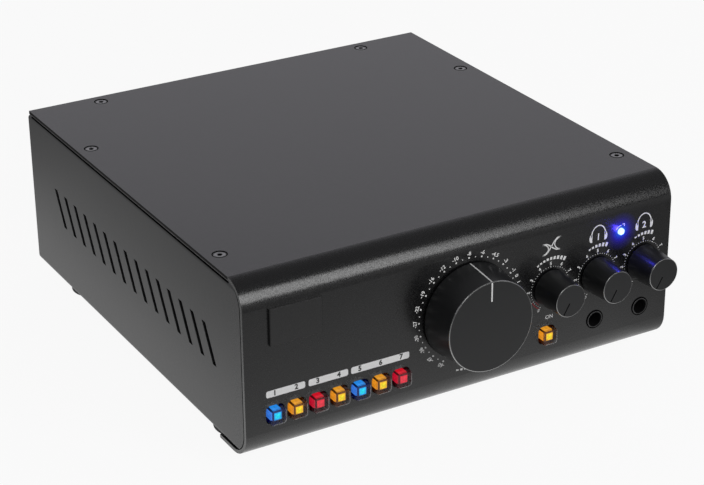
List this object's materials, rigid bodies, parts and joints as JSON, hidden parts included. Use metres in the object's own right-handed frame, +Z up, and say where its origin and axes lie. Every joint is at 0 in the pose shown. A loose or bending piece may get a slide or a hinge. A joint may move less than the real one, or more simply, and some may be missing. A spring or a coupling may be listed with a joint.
{
  "type": "studio monitor controller",
  "caption": "Desktop studio monitor controller: bent metal case with a large volume dial, smaller knobs, lit push buttons, headphone sockets and rear connectors.",
  "frame": {"origin": "middle of the footprint at the soles of the feet", "axes": "+X to the right seen from the front, +Y from the front panel to the rear wall, +Z up"},
  "size_m": [0.21, 0.2446, 0.085],
  "materials": {
    "case": "fine-textured black powder coat",
    "tray": "black powder coat, slightly lighter",
    "knob": "satin black anodised",
    "pointer": "white inlay",
    "plate": "satin black, bare",
    "screw": "black screws",
    "foot": "matt black rubber",
    "cap": "clear moulded cap",
    "core_blue": "lit blue",
    "core_amber": "lit amber",
    "core_red": "lit red",
    "lamp": "lit blue lamp",
    "socket": "black moulded socket",
    "metal": "bright plated metal",
    "board": "green circuit board",
    "parts": "dark moulded components",
    "sink": "plain aluminium"
  },
  "bodies": {
    "housing": {"bushing_nuts": "metal", "capacitors": "parts", "chassis": "tray", "cover": "case", "cover_screws": "screw", "foot_front_left": "foot", "foot_front_right": "foot", "foot_rear_left": "foot", "foot_rear_right": "foot", "foot_screws": "screw", "front_board": "board", "front_plate": "plate", "headphone_jack_1": "socket", "headphone_jack_2": "socket", "heat_sink": "sink", "lamp": "lamp", "lip_screws": "screw", "main_board": "board", "phono_sockets": "metal", "power_inlet": "socket", "push_switches": "parts", "relays": "parts", "rocker_frame": "socket", "small_pots": "metal", "spacers": "metal", "volume_pot": "metal", "xlr_input_left": "socket", "xlr_input_right": "socket", "xlr_output_left": "socket", "xlr_output_right": "socket"},
    "volume_dial": {"volume_knob": "knob", "volume_pointer": "pointer", "volume_shaft": "metal"},
    "knob_1": {"small_knob_1": "knob", "small_shaft_1": "metal"},
    "knob_2": {"small_knob_2": "knob", "small_shaft_2": "metal"},
    "knob_3": {"small_knob_3": "knob", "small_shaft_3": "metal"},
    "power_rocker": {"rocker": "socket"},
    "button_1": {"button_1_cap": "cap", "button_1_core": "core_blue"},
    "button_2": {"button_2_cap": "cap", "button_2_core": "core_amber"},
    "button_3": {"button_3_cap": "cap", "button_3_core": "core_red"},
    "button_4": {"button_4_cap": "cap", "button_4_core": "core_amber"},
    "button_5": {"button_5_cap": "cap", "button_5_core": "core_blue"},
    "button_6": {"button_6_cap": "cap", "button_6_core": "core_amber"},
    "button_7": {"button_7_cap": "cap", "button_7_core": "core_red"},
    "on_button": {"on_button_cap": "cap", "on_button_core": "core_amber"}
  },
  "joints": [
    {"name": "volume_turn", "type": "hinge", "parent": "housing", "child": "volume_dial", "pos_m": [0.0004, -0.1048, 0.04755], "axis": [0, 1, 0], "range_deg": [-150, 150]},
    {"name": "knob_1_turn", "type": "hinge", "parent": "housing", "child": "knob_1", "pos_m": [0.042, -0.1048, 0.0475], "axis": [0, 1, 0], "range_deg": [0, 300]},
    {"name": "knob_2_turn", "type": "hinge", "parent": "housing", "child": "knob_2", "pos_m": [0.06645, -0.1048, 0.0475], "axis": [0, 1, 0], "range_deg": [0, 300]},
    {"name": "knob_3_turn", "type": "hinge", "parent": "housing", "child": "knob_3", "pos_m": [0.0909, -0.1048, 0.0475], "axis": [0, 1, 0], "range_deg": [0, 300]},
    {"name": "button_1_press", "type": "slide", "parent": "housing", "child": "button_1", "axis": [0, 1, 0], "range_m": [0, 0.002], "stiffness_N_per_m": 200},
    {"name": "button_2_press", "type": "slide", "parent": "housing", "child": "button_2", "axis": [0, 1, 0], "range_m": [0, 0.002], "stiffness_N_per_m": 200},
    {"name": "button_3_press", "type": "slide", "parent": "housing", "child": "button_3", "axis": [0, 1, 0], "range_m": [0, 0.002], "stiffness_N_per_m": 200},
    {"name": "button_4_press", "type": "slide", "parent": "housing", "child": "button_4", "axis": [0, 1, 0], "range_m": [0, 0.002], "stiffness_N_per_m": 200},
    {"name": "button_5_press", "type": "slide", "parent": "housing", "child": "button_5", "axis": [0, 1, 0], "range_m": [0, 0.002], "stiffness_N_per_m": 200},
    {"name": "button_6_press", "type": "slide", "parent": "housing", "child": "button_6", "axis": [0, 1, 0], "range_m": [0, 0.002], "stiffness_N_per_m": 200},
    {"name": "button_7_press", "type": "slide", "parent": "housing", "child": "button_7", "axis": [0, 1, 0], "range_m": [0, 0.002], "stiffness_N_per_m": 200},
    {"name": "on_button_press", "type": "slide", "parent": "housing", "child": "on_button", "axis": [0, 1, 0], "range_m": [0, 0.002], "stiffness_N_per_m": 200},
    {"name": "power_rocker_tilt", "type": "hinge", "parent": "housing", "child": "power_rocker", "pos_m": [0.091, 0.1133, 0.056], "axis": [1, 0, 0], "range_deg": [0, 16]}
  ]
}
